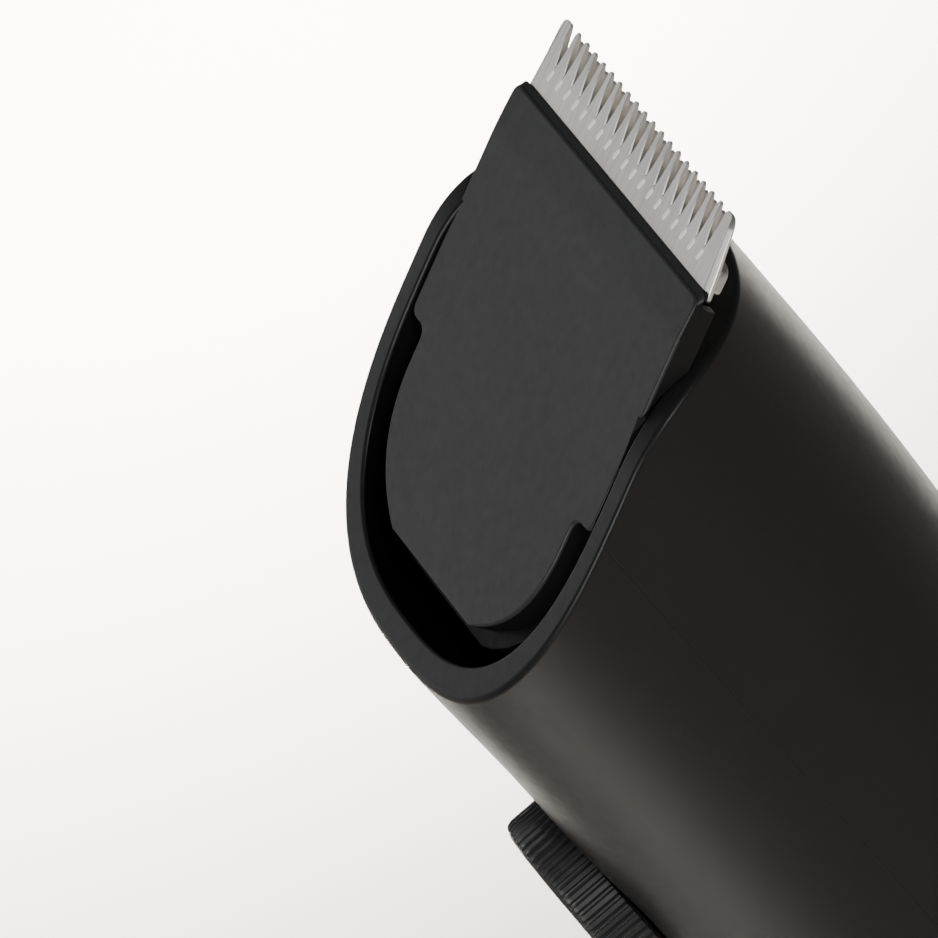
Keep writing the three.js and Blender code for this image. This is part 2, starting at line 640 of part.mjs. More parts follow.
function buildBlades() {
  const comb = toothedEdge(bladeTipY, bladeRootY, slotCount, 0.58);
  comb.lineTo(bladeTipHalfX - 0.9, bladeTipY);
  comb.quadraticCurveTo(bladeTipHalfX, bladeTipY, bladeTipHalfX + 0.1, bladeTipY - 1.2);
  comb.lineTo(bladeHalfX, bladeShoulderY + 0.8);
  comb.quadraticCurveTo(bladeHalfX, bladeShoulderY, bladeHalfX - 0.8, bladeShoulderY);
  comb.lineTo(18.8, bladeShoulderY);
  comb.lineTo(18.8, 8);
  const plate = prism(mirrored(comb, 2), bladeTopZ - bladeThick, bladeTopZ);
  const grind = new THREE.Shape(); // the teeth are ground thinner from below
  grind.moveTo(bladeRootY, bladeTopZ - bladeThick);
  grind.lineTo(bladeTipY + 1, bladeTopZ - 0.35);
  grind.lineTo(bladeTipY + 1, bladeTopZ - bladeThick - 1);
  grind.lineTo(bladeRootY, bladeTopZ - bladeThick - 1);
  const ground = sidePrism(grind, -30, 30);
  const holes = [-14.5, 14.5].map((x) => rodZ(1.4, -5, 0, x, 10, 12));
  add("fixed_blade", cut(plate, ground, ...holes), bladeSteel, headGroup);

  const row = toothedEdge(cutterTipY, bladeRootY - 0.8, slotCount - 1, 0.6);
  row.lineTo(cutterHalfX, cutterTipY);
  row.lineTo(cutterHalfX, cutterEarTopY);
  row.quadraticCurveTo(cutterEarHalfX, cutterEarTopY, cutterEarHalfX, cutterEarTopY - 1.2);
  row.lineTo(cutterEarHalfX, cutterEarLowY + 0.8);
  row.quadraticCurveTo(cutterEarHalfX, cutterEarLowY, cutterHalfX, cutterEarLowY);
  row.lineTo(cutterTailHalfX, cutterEarLowY - 0.8);
  row.lineTo(cutterTailHalfX, 12.4);
  const cutter = prism(mirrored(row, 2), cutterTopZ - cutterThick, cutterTopZ);
  const bevel = new THREE.Shape();
  bevel.moveTo(bladeRootY, cutterTopZ - cutterThick);
  bevel.lineTo(cutterTipY + 1, cutterTopZ - 0.2);
  bevel.lineTo(cutterTipY + 1, cutterTopZ - 2);
  bevel.lineTo(bladeRootY, cutterTopZ - 2);
  add("cutter", cutter.subtract(sidePrism(bevel, -30, 30)), bladeSteel, headGroup);
}

function buildHead() {
  const room = wallRoom();
  add("head_cover", headCover(room), coverGrey, headGroup);
  add("head_base", headBase(room), innerBlack, headGroup);
  buildBlades();
  const leg = inHead(cut(
    box(-4.3, 4.3, motorY - 3.5, motorY + 3.5, 147.5, 190),
    box(-slotHalfX, slotHalfX, motorY - 2.3, motorY + 2.3, 140, 153.6),
  ));
  const armTop = cutterTopZ - cutterThick - 0.2;
  const driver = join(
    leg.subtract(box(-40, 40, -60, 60, armTop - 0.5, 60)),
    box(-3.8, 3.8, 3, 17.4, -5.3, armTop),
  );
  add("blade_driver", driver, whiteNylon, headGroup);
  for (const side of [-1, 1]) {
    const end = side < 0 ? "left" : "right";
    const bow = new THREE.Shape();
    bow.moveTo(7, -4.2);
    bow.quadraticCurveTo(11, -2.9, 15, -4.2);
    bow.lineTo(15, -4.4);
    bow.quadraticCurveTo(11, -3.2, 7, -4.4);
    const leaf = new THREE.ExtrudeGeometry(bow, { depth: 3, bevelEnabled: false, curveSegments: 8 });
    const strip = solid(leaf.rotateX(Math.PI / 2).translate(0, 16.5, 0));
    const placed = side > 0 ? strip : strip.rotate([0, 0, 180]).translate([0, 30, 0]);
    add("blade_spring_" + end, placed, springSteel, headGroup);
    const headScrew = screw(1.05, 5.7, 2, 1.2).rotateX(Math.PI).translate(side * 14.5, 10, baseBottomZ - 0.1);
    add("head_screw_" + end, headScrew, nickel, headGroup);
  }
}

buildBody();
buildMotor();
buildRotor();
buildPower();
buildButton();
buildDial();
buildCarriage();
buildHead();
bodyGroup.add(headGroup);

export default bodyGroup;
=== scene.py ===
import math

import bmesh
import bpy
from mathutils import Matrix, Vector


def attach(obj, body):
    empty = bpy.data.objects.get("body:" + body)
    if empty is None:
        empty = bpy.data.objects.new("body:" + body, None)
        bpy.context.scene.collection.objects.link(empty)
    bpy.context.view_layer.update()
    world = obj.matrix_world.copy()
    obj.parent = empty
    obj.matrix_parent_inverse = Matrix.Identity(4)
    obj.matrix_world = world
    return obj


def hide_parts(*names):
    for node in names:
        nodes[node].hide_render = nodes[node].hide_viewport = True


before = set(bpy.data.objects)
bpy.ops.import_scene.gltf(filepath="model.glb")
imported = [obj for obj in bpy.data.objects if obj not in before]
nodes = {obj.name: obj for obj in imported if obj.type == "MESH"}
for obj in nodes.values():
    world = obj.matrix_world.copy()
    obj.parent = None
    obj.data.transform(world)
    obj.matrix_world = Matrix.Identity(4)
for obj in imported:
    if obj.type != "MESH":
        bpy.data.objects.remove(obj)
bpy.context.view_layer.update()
mm = 0.001
print("frame loaded,", len(nodes), "nodes")

# The body's form, in millimetres, shared by every piece that fits it
body = {
    "gripHalfX": 21,
    "headHalfX": 24,
    "gripHalfY": 18.7,
    "headFrontY": -22.9,
    "headBackY": 22.5,
    "rimFlare": 0.45,
    "power": 2.65,
    "sidesWidenZ": (40, 128),
    "frontSwellsZ": (30, 115),
    "backSwellsZ": (70, 152),
    "lipStartZ": 136,
    "baseRound": 5,
    "capTopZ": 8,
    "rimFrontZ": 153.8,
    "rimSlope": 0.59,
    "rampEndY": 2,
    "rimLeavesY": 9,
    "rimArrivesY": 15,
    "rimCrest": 1.6,
    "rimBackRise": 15.5,
    "wall": 2.7,
    "seamY": -3,
}
head = {"angle": math.atan(0.5824), "originZ": 167}
headPlace = Matrix.Translation((0, 0, head["originZ"])) @ Matrix.Rotation(head["angle"], 4, "X")
upright = Matrix()


def smoothStep(value, low, high):
    share = min(1, max(0, (value - low) / (high - low)))
    return share * share * (3 - 2 * share)


def mix(a, b, share):
    return a + (b - a) * share


def sectionAt(z):
    halfX = mix(body["gripHalfX"], body["headHalfX"], smoothStep(z, *body["sidesWidenZ"]))
    front = mix(-body["gripHalfY"], body["headFrontY"], smoothStep(z, *body["frontSwellsZ"]))
    front -= body["rimFlare"] * smoothStep(z, body["lipStartZ"], body["rimFrontZ"])
    back = mix(body["gripHalfY"], body["headBackY"], smoothStep(z, *body["backSwellsZ"]))
    return halfX, (back - front) / 2, (back + front) / 2


def soften(value):
    return math.copysign(abs(value) ** (2 / body["power"]), value)


def pullAt(z, inset):
    dip = max(0, body["baseRound"] - z)
    return inset + body["baseRound"] - math.sqrt(body["baseRound"] ** 2 - dip ** 2)


def bodyPoint(angle, z, inset):
    halfX, halfY, middleY = sectionAt(z)
    pull = pullAt(z, inset)
    return (
        soften(math.cos(angle)) * (halfX - pull),
        soften(math.sin(angle)) * (halfY - pull) + middleY,
        z,
    )


# The angle, on the +X side, at which the body's section reaches a given y
def angleAtY(y, z, inset):
    halfX, halfY, middleY = sectionAt(z)
    share = (y - middleY) / (halfY - pullAt(z, inset))
    share = min(1, max(-1, share))
    return math.asin(math.copysign(abs(share) ** (body["power"] / 2), share))


def bezier(a, b, c, d, steps):
    points = []
    for i in range(1, steps + 1):
        t = i / steps
        weights = ((1 - t) ** 3, 3 * t * (1 - t) ** 2, 3 * t * t * (1 - t), t ** 3)
        points.append(tuple(sum(w * p[k] for w, p in zip(weights, (a, b, c, d))) for k in (0, 1)))
    return points


# A curve with one control point, as a cubic
def bow(a, b, c, steps):
    near, far = (tuple(mix(end[k], b[k], 2 / 3) for k in (0, 1)) for end in (a, c))
    return bezier(a, near, far, c, steps)


# A quarter round at a profile's outer corner, in steps of 15 degrees
def quarterRound(side, top, rounding):
    turns = [math.radians(15 * i) for i in range(1, 7)]
    return [(side - rounding * (1 - math.cos(t)), top - rounding * (1 - math.sin(t))) for t in turns]


# An outline from its +X half and the same half turned over
def bothSides(half):
    return half + [(-x, y) for x, y in reversed(half)]


def rampZ(y):
    return body["rimFrontZ"] + body["rimSlope"] * (y - body["headFrontY"])


backZ = body["rimFrontZ"] + body["rimBackRise"]
rimStart = (body["rampEndY"], rampZ(body["rampEndY"]))
rimEnd = (body["headBackY"], backZ)
leaving = (body["rimLeavesY"], rampZ(body["rimLeavesY"]))
arriving = (body["rimArrivesY"], backZ + body["rimCrest"])
rimCurve = [rimStart] + bezier(rimStart, leaving, arriving, rimEnd, 60)


def rimZ(y):
    if y <= rimStart[0]:
        return rampZ(y)
    for (y0, z0), (y1, z1) in zip(rimCurve, rimCurve[1:]):
        if y <= y1:
            return mix(z0, z1, (y - y0) / (y1 - y0))
    return backZ


# Mesh making
def linkObject(name, data):
    obj = bpy.data.objects.new(name, data)
    bpy.context.scene.collection.objects.link(obj)
    return obj


def meshObject(name, points, faces, place=upright):
    mesh = bpy.data.meshes.new(name)
    mesh.from_pydata([tuple(p) for p in points], [], faces)
    mesh.transform(Matrix.Scale(mm, 4) @ place)
    turnOutwards(mesh)
    return linkObject(name, mesh)


def turnOutwards(mesh, merge=1e-7):
    work = bmesh.new()
    work.from_mesh(mesh)
    bmesh.ops.remove_doubles(work, verts=work.verts, dist=merge)
    bmesh.ops.dissolve_degenerate(work, dist=merge, edges=work.edges)
    bmesh.ops.recalc_face_normals(work, faces=work.faces)
    work.to_mesh(mesh)
    work.free()


# Applies the modifiers of an object to its mesh
def settle(obj):
    graph = bpy.context.evaluated_depsgraph_get()
    mesh = bpy.data.meshes.new_from_object(obj.evaluated_get(graph), depsgraph=graph)
    old = obj.data
    obj.modifiers.clear()
    obj.data = mesh
    bpy.data.meshes.remove(old)
    return obj


# Places a mesh whose matrix is in millimetres
def shift(obj, place):
    obj.data.transform(Matrix.Scale(mm, 4) @ place @ Matrix.Scale(1 / mm, 4))
    return obj


def carve(target, tool, operation="DIFFERENCE"):
    cutting = target.modifiers.new("carve", "BOOLEAN")
    cutting.operation = operation
    cutting.solver = "EXACT"
    cutting.object = tool
    settle(target)
    bpy.data.objects.remove(tool)
    return target


def paint(obj, material):
    obj.data.materials.clear()
    obj.data.materials.append(material)
    for face in obj.data.polygons:
        face.material_index = 0


# Gives a second finish to the faces that pass a test of their centre, in millimetres, and normal; here it
# paints darker shade on the shells' inward faces and on the cover's skirt
def paintWhere(obj, material, test):
    obj.data.materials.append(material)
    index = len(obj.data.materials) - 1
    for face in obj.data.polygons:
        if test(face.center / mm, face.normal):
            face.material_index = index


# Smooth faces, creases kept where faces meet at more than the angle
def smoothOver(obj, crease=32, weighted=True):
    obj.data.shade_smooth()
    obj.data.set_sharp_from_angle(angle=math.radians(crease))
    if weighted:
        evening = obj.modifiers.new("evening", "WEIGHTED_NORMAL")
        evening.keep_sharp = True
        settle(obj)
    return obj


# Points and faces of rings of equal length, each joined to the next
def joinRings(rings):
    count = len(rings[0])
    points = [p for ring in rings for p in ring]
    faces = []
    for a in range(0, len(points) - count, count):
        for j in range(count):
            k = (j + 1) % count
            faces.append((a + j, a + k, a + count + k, a + count + j))
    return count, points, faces


# Rings joined into a skin with capped ends
def skinRings(name, rings, place=upright):
    count, points, faces = joinRings(rings)
    faces += [tuple(range(count)), tuple(range(len(points) - count, len(points)))]
    return meshObject(name, points, faces, place)


# A skin through one outline at several levels, each with its own inset
def layered(name, outline, levels):
    return skinRings(name, [[(x, y, z) for x, y in outline(inset)] for inset, z in levels])


def prism(name, outline, low, high, place=upright):
    rings = [[(x, y, z) for x, y in outline] for z in (low, high)]
    return skinRings(name, rings, place)


def block(name, low, high, place=upright):
    outline = [(low[0], low[1]), (high[0], low[1]), (high[0], high[1]), (low[0], high[1])]
    return prism(name, outline, low[2], high[2], place)


# A profile of (radius, height) turned about Z; radius 0 closes an end at a point
def turned(name, profile, place=upright, sides=64):
    points, faces, rows = [], [], []
    for radius, height in profile:
        if radius == 0:
            rows.append([len(points)])
            points.append((0, 0, height))
            continue
        rows.append(list(range(len(points), len(points) + sides)))
        for i in range(sides):
            angle = 2 * math.pi * i / sides
            points.append((radius * math.cos(angle), radius * math.sin(angle), height))
    for low, high in zip(rows, rows[1:]):
        for i in range(sides):
            k = (i + 1) % sides
            if len(low) == 1:
                faces.append((low[0], high[i], high[k]))
            elif len(high) == 1:
                faces.append((low[i], low[k], high[0]))
            else:
                faces.append((low[i], low[k], high[k], high[i]))
    return meshObject(name, points, faces, place)


# Heights run towards -Y, out of the front
def frontwards(x, y, z):
    return Matrix.Translation((x, y, z)) @ Matrix.Rotation(math.radians(90), 4, "X")


def backwards(x, y, z):
    return Matrix.Translation((x, y, z)) @ Matrix.Rotation(math.radians(-90), 4, "X")


def rod(name, radius, low, high, place=upright, sides=48):
    return turned(name, [(0, low), (radius, low), (radius, high), (0, high)], place, sides)


# The body's form as a solid between two heights
def bodySolid(name, inset, low, high, rows=24, columns=160):
    rings = []
    for i in range(rows + 1):
        z = mix(low, high, i / rows)
        rings.append([bodyPoint(2 * math.pi * j / columns, z, inset) for j in range(columns)])
    return skinRings(name, rings)


def belowRim(name, rise):
    outline = [(-40, rampZ(-40) + rise)] + [(y, z + rise) for y, z in rimCurve]
    outline += [(40, backZ + rise), (40, 60), (-40, 60)]
    sideOn = Matrix(((0, 0, 1, 0), (1, 0, 0, 0), (0, 1, 0, 0), (0, 0, 0, 1)))
    return prism(name, outline, -40, 40, sideOn)


# Node making
def feed(tree, socket, value):
    if isinstance(value, bpy.types.NodeSocket):
        tree.links.new(value, socket)
    else:
        socket.default_value = value


# Shader groups shared by the finishes
def newGroup(name, inputs, outputs):
    group = bpy.data.node_groups.new(name, "ShaderNodeTree")
    for title, value in inputs.items():
        kind = "NodeSocketColor" if isinstance(value, tuple) else "NodeSocketFloat"
        socket = group.interface.new_socket(title, in_out="INPUT", socket_type=kind)
        socket.default_value = value
    for title, kind in outputs.items():
        group.interface.new_socket(title, in_out="OUTPUT", socket_type=kind)
    entry = group.nodes.new("NodeGroupInput")
    leave = group.nodes.new("NodeGroupOutput")
    return group, entry, leave


def noiseIn(tree, vector, scale, detail, roughness):
    noise = tree.nodes.new("ShaderNodeTexNoise")
    given = {"Vector": vector, "Scale": scale, "Detail": detail, "Roughness": roughness}
    for title, value in given.items():
        feed(tree, noise.inputs[title], value)
    return noise.outputs["Fac"]


def objectPlace(tree):
    return tree.nodes.new("ShaderNodeTexCoord").outputs["Object"]


def spreadOver(tree, value, low, high, toLow=0.0, toHigh=1.0):
    ranging = tree.nodes.new("ShaderNodeMapRange")
    ends = {"From Min": low, "From Max": high, "To Min": toLow, "To Max": toHigh, "Value": value}
    for title, end in ends.items():
        feed(tree, ranging.inputs[title], end)
    return ranging.outputs["Result"]


def blendColours(tree, share, first, second):
    mixing = tree.nodes.new("ShaderNodeMix")
    mixing.data_type = "RGBA"
    tree.links.new(share, mixing.inputs["Factor"])
    feed(tree, mixing.inputs[6], first)  # the colour inputs and output share their names with others
    feed(tree, mixing.inputs[7], second)
    return mixing.outputs[2]


def calculate(tree, operation, *values):
    node = tree.nodes.new("ShaderNodeMath")
    node.operation = operation
    for socket, value in zip(node.inputs, values):
        feed(tree, socket, value)
    return node.outputs[0]


def vectorOf(tree, **parts):
    node = tree.nodes.new("ShaderNodeCombineXYZ")
    for axis, value in parts.items():
        feed(tree, node.inputs[axis], value)
    return node.outputs[0]


def fillGroup(group, leave, colour, gloss, height):
    for title, value in (("Colour", colour), ("Roughness", gloss), ("Height", height)):
        group.links.new(value, leave.inputs[title])


surfaceOutputs = {"Colour": "NodeSocketColor", "Roughness": "NodeSocketFloat", "Height": "NodeSocketFloat"}


# Fine moulded grain with broad, faint changes of tone and gloss
def mouldedGroup():
    group, entry, leave = newGroup(
        "moulded grain",
        {"Tone": (0.02, 0.02, 0.02, 1), "Second Tone": (0.03, 0.03, 0.03, 1), "Grain Scale": 3000.0,
         "Gloss Low": 0.4, "Gloss High": 0.5},
        surfaceOutputs,
    )
    given, place = entry.outputs, objectPlace(group)
    grain = noiseIn(group, place, given["Grain Scale"], 2, 0.6)
    cloud = noiseIn(group, place, 45, 5, 0.6)
    speck = noiseIn(group, place, 900, 2, 0.5)
    share = spreadOver(group, cloud, 0.3, 0.7)
    tone = blendColours(group, share, given["Tone"], given["Second Tone"])
    gloss = spreadOver(group, speck, 0.3, 0.7, given["Gloss Low"], given["Gloss High"])
    fillGroup(group, leave, tone, gloss, grain)
    return group


# Ground metal: long fine scratches along one axis, and a slow change of gloss
def groundGroup():
    group, entry, leave = newGroup(
        "ground metal",
        {"Shade": (0.5, 0.5, 0.5, 1), "Light Shade": (0.6, 0.6, 0.6, 1), "Across": 4000.0, "Along": 150.0,
         "Gloss Low": 0.25, "Gloss High": 0.4},
        surfaceOutputs,
    )
    given, place = entry.outputs, objectPlace(group)
    stretch = vectorOf(group, X=given["Along"], Y=given["Across"], Z=given["Across"])
    scaled = group.nodes.new("ShaderNodeVectorMath")
    scaled.operation = "MULTIPLY"
    group.links.new(place, scaled.inputs[0])
    group.links.new(stretch, scaled.inputs[1])
    scratch = noiseIn(group, scaled.outputs["Vector"], 1, 3, 0.65)
    cloud = noiseIn(group, place, 120, 3, 0.5)
    share = spreadOver(group, scratch, 0.3, 0.7)
    tone = blendColours(group, share, given["Shade"], given["Light Shade"])
    gloss = spreadOver(group, cloud, 0.3, 0.7, given["Gloss Low"], given["Gloss High"])
    fillGroup(group, leave, tone, gloss, scratch)
    return group


# Faint dust that lies where a surface faces up
def dustGroup():
    group, entry, leave = newGroup(
        "settled dust",
        {"Colour": (0.02, 0.02, 0.02, 1), "Dust": (0.2, 0.19, 0.18, 1), "Amount": 0.05},
        {"Colour": "NodeSocketColor"},
    )
    normal = group.nodes.new("ShaderNodeNewGeometry").outputs["Normal"]
    split = group.nodes.new("ShaderNodeSeparateXYZ")
    group.links.new(normal, split.inputs["Vector"])
    facing = spreadOver(group, split.outputs["Z"], 0.2, 1)
    patches = spreadOver(group, noiseIn(group, objectPlace(group), 700, 6, 0.7), 0.52, 0.75)
    share = calculate(group, "MULTIPLY", facing, patches)
    amount = calculate(group, "MULTIPLY", share, entry.outputs["Amount"])
    tone = blendColours(group, amount, entry.outputs["Colour"], entry.outputs["Dust"])
    group.links.new(tone, leave.inputs["Colour"])
    return group


moulded = mouldedGroup()
ground = groundGroup()
dust = dustGroup()


def finishOf(name, group, values, bump, depth, dusty=0, **shader):
    material = bpy.data.materials.new(name)
    material.use_nodes = True
    tree = material.node_tree
    surface = tree.nodes["Principled BSDF"]
    pattern = tree.nodes.new("ShaderNodeGroup")
    pattern.node_tree = group
    for title, value in values.items():
        pattern.inputs[title].default_value = value
    colour = pattern.outputs["Colour"]
    if dusty:
        settled = tree.nodes.new("ShaderNodeGroup")
        settled.node_tree = dust
        settled.inputs["Amount"].default_value = dusty
        tree.links.new(colour, settled.inputs["Colour"])
        colour = settled.outputs["Colour"]
    tree.links.new(colour, surface.inputs["Base Color"])
    tree.links.new(pattern.outputs["Roughness"], surface.inputs["Roughness"])
    relief = tree.nodes.new("ShaderNodeBump")
    relief.inputs["Strength"].default_value = bump
    relief.inputs["Distance"].default_value = depth
    tree.links.new(pattern.outputs["Height"], relief.inputs["Height"])
    tree.links.new(relief.outputs["Normal"], surface.inputs["Normal"])
    for title, value in shader.items():
        surface.inputs[title.replace("_", " ")].default_value = value
    return material


# Red, green, blue and alpha from a colour, or from one number for a neutral grey
def fullColour(tone):
    return (*tone, 1) if isinstance(tone, tuple) else (tone, tone, tone, 1)


def plastic(name, tone, second, gloss, bump=0.12, grain=3000.0, dusty=0, level=0.5, **shader):
    values = {"Tone": fullColour(tone), "Second Tone": fullColour(second), "Grain Scale": grain,
              "Gloss Low": gloss[0], "Gloss High": gloss[1]}
    return finishOf(name, moulded, values, bump, 0.00004, dusty, Specular_IOR_Level=level, **shader)


def metal(name, shade, light, gloss, bump=0.15, along=150.0, across=4000.0, metallic=1.0):
    values = {"Shade": fullColour(shade), "Light Shade": fullColour(light),
              "Along": along, "Across": across,
              "Gloss Low": gloss[0], "Gloss High": gloss[1]}
    return finishOf(name, ground, values, bump, 0.00002, Metallic=metallic)


finishes = {
    "casing": plastic("matte black casing", 0.009, 0.011, (0.32, 0.38), dusty=0.02, level=0.18),
    "cover": plastic("dark grey cover", 0.022, 0.026, (0.4, 0.47), bump=0.2, grain=2200.0,
                     dusty=0.03, level=0.26),
    # a darker copy of the cover plastic: painted shade for the cover's skirt down in the gap
    "skirt": plastic("cover plastic with painted shade", 0.008, 0.01, (0.38, 0.44), level=0.1),
    # darker black plastic: the inner parts' own colour, and painted shade on the shells' inward faces, the
    # head base and the comb carriage
    "inner": plastic("inner black plastic and painted shade", 0.004, 0.006, (0.4, 0.5), level=0.08),
    "dial": plastic("dial plastic", 0.014, 0.02, (0.42, 0.5), dusty=0.1),
    "button": plastic("button plastic", (0.02, 0.02, 0.021), (0.026, 0.026, 0.027), (0.3, 0.36),
                      dusty=0.04),
    "rubber": plastic("seal rubber", 0.012, 0.02, (0.7, 0.85), bump=0.3, level=0.3),
    "nylon": plastic("white nylon", (0.68, 0.67, 0.62), (0.75, 0.74, 0.7), (0.42, 0.52),
                     Subsurface_Weight=0.1),
    "board": plastic("circuit board", (0.01, 0.09, 0.035), (0.015, 0.12, 0.05), (0.3, 0.45), grain=900.0),
    "cell": plastic("cell wrap", (0.03, 0.12, 0.3), (0.035, 0.14, 0.33), (0.25, 0.32), bump=0.05),
    "lens": plastic("clear lens", (0.55, 0.6, 0.56), (0.6, 0.65, 0.6), (0.08, 0.14), bump=0.03,
                    Transmission_Weight=0.6),
    "blade": metal("blade steel", (0.6, 0.58, 0.54), (0.78, 0.75, 0.71), (0.3, 0.38),
                   along=4000.0, across=120.0),
    # near white and not metallic: a painted highlight on the run-outs at the slot roots
    "mark": metal("white painted highlight", (0.97, 0.97, 0.96), (1.0, 1.0, 0.99), (0.45, 0.5), metallic=0),
    # darker than the blade steel: painted shade on the cutter lying under the comb
    "cutter": metal("cutter steel", (0.42, 0.4, 0.38), (0.55, 0.53, 0.5), (0.3, 0.4),
                    along=4000.0, across=120.0),
    "spring": metal("spring steel", (0.45, 0.45, 0.44), (0.6, 0.6, 0.58), (0.25, 0.35)),
    "motor": metal("motor can steel", (0.4, 0.41, 0.42), (0.55, 0.56, 0.57), (0.3, 0.42), along=100.0),
    "screw": metal("nickel screws", (0.6, 0.6, 0.57), (0.75, 0.75, 0.72), (0.2, 0.3),
                   along=900.0, across=900.0),
    "magnet": metal("ferrite magnet", (0.03, 0.032, 0.036), (0.06, 0.062, 0.066), (0.5, 0.65),
                    metallic=0.3),
    "copper": metal("copper and sintered bronze", (0.42, 0.17, 0.08), (0.62, 0.27, 0.13), (0.28, 0.4)),
}
print("finishes made,", len(finishes))

# Which finish each carried-over node gets
nodeFinishes = {
    # the darker inner plastic also stands as painted shade on the head base and the comb carriage, seen in
    # the gap
    "inner": ("base_cap", "chassis", "battery_holder", "tact_switch", "head_base", "comb_carriage"),
    "screw": ("chassis_screw_left", "chassis_screw_right", "motor_screw_left", "motor_screw_right",
              "case_screw_left", "case_screw_right", "head_screw_left", "head_screw_right", "motor_shaft",
              "drive_pin", "battery_tab_top", "battery_tab_bottom", "charge_socket"),
    "nylon": ("motor_end_bell", "blade_driver", "eccentric_hub", "dial_shaft", "dial_pinion",
              "indicator_led"),
    "spring": ("blade_spring_left", "blade_spring_right", "dial_clip", "dial_detent"),
    "motor": ("motor_can",),
    "magnet": ("magnet_left", "magnet_right"),
    "copper": ("motor_bushing", "armature"),
    "cell": ("battery_cell",),
    "board": ("circuit_board",),
    "rubber": ("drive_seal",),
    "lens": ("indicator_lens",),
    "casing": ("front_shell", "rear_shell"),
    "dial": ("dial_knob",),
    "button": ("power_button",),
    "cover": ("head_cover",),
    "blade": ("fixed_blade",),
    "cutter": ("cutter",),
}
for finish, names in nodeFinishes.items():
    for name in names:
        for slot in nodes[name].material_slots:
            slot.material = finishes[finish]

# Shells
shellSpec = {
    "bottomZ": 8.3,
    "seamGap": 0.012,
    "rimOuterRound": 0.5,
    "rimInnerRound": 0.45,
    "rows": 46,
    "frontColumns": 144,
    "rearColumns": 176,
}


# The wall seen in section, as (inset, share of the height, drop below the rim)
def wallSection(spec, inset=0, thick=body["wall"]):
    outer, inner, rows = spec["rimOuterRound"], spec["rimInnerRound"], spec["rows"]
    path = [(inset, i / rows, outer) for i in range(rows)]
    for i in range(7):
        turn = math.radians(15 * i)
        path.append((inset + outer * (1 - math.cos(turn)), 1, outer * (1 - math.sin(turn))))
    for i in range(6, -1, -1):
        turn = math.radians(15 * i)
        path.append((inset + thick - inner * (1 - math.cos(turn)), 1, inner * (1 - math.sin(turn))))
    path += [(inset + thick, i / rows, inner) for i in range(rows - 1, -1, -1)]
    return path


# A wall point's height and y depend on each other, so both are approached in a few rounds
def wallPoint(across, inset, share, drop, rear, cutY, lowZ, rise):
    z, rounds = 160, 7
    for _ in range(rounds):
        start = angleAtY(cutY, z, inset)
        sweep = math.pi - 2 * start if rear else -math.pi - 2 * start
        x, y, z = bodyPoint(start + sweep * across, z, inset)
        z = mix(lowZ, rimZ(y) - drop + rise, share)
    return x, y, z


# A wall that follows the body's form up to the rim, closed where it meets the seam
def bodyWall(name, path, columns, rear, cutY, lowZ, rise=0.0):
    rings = []
    for i in range(columns + 1):
        across = i / columns
        rings.append([wallPoint(across, *spot, rear, cutY, lowZ, rise) for spot in path])
    count, points, faces = joinRings(rings)
    for end in (0, columns * count):
        for j in range(count // 2 - 1):
            faces.append((end + j, end + j + 1, end + count - 2 - j, end + count - 1 - j))
    return meshObject(name, points, faces)


dialSpec = {
    "z": 118.4,
    "radius": 10,
    "frontY": -27,
    "backY": -22.3,
    "round": 0.9,
    "ribs": 60,
    "ribDepth": 0.4,
    "pocketY": -22,
    "pocketRadius": 10.5,
    "shaftHole": 2.4,
}
buttonSpec = {"z": 85, "radius": 5.7, "proud": 0.7, "gap": 0.3, "dish": 0.35, "edge": 0.45,
              "chamfer": 0.3, "flange": 6.7, "flangeY": -17.3, "flangeThick": 0.9}
lensSpec = {"z": 66, "hole": 1.7, "radius": 1.4, "backY": -15.6, "sink": 0.3, "dome": 0.2}
caseScrewSpec = {"x": 13.6, "z": 28, "boss": 4.2, "counterbore": 3, "floorY": 4, "hole": 1.6,
                 "bossY": (-2.9, 17), "bossInset": 0.4, "bossZ": (20, 36)}
socketSpec = {"halfX": 5, "halfZ": 1.8, "z": 17, "corner": 1.2}


def frontAt(z):
    halfX, halfY, middleY = sectionAt(z)
    return middleY - halfY


def makeFrontShell(spec):
    cutY = body["seamY"] - spec["seamGap"] / 2
    path, columns = wallSection(spec), spec["frontColumns"]
    shell = bodyWall("front_shell_skin", path, columns, False, cutY, spec["bottomZ"])
    atDial = frontwards(0, 0, dialSpec["z"])
    carve(shell, rod("pocket", dialSpec["pocketRadius"], -dialSpec["pocketY"], 32, atDial, 128))
    carve(shell, rod("hole", dialSpec["shaftHole"], 15, 32, atDial))
    hole, chamfer = buttonSpec["radius"] + buttonSpec["gap"], buttonSpec["chamfer"]
    wide, wallY = hole + 1.5 * chamfer, -frontAt(buttonSpec["z"])
    well = [(0, 12), (hole, 12), (hole, wallY - chamfer), (wide, wallY + chamfer / 2), (wide, 30), (0, 30)]
    carve(shell, turned("well", well, frontwards(0, 0, buttonSpec["z"]), 128))
    carve(shell, rod("hole", lensSpec["hole"], 12, 30, frontwards(0, 0, lensSpec["z"])))
    return shell


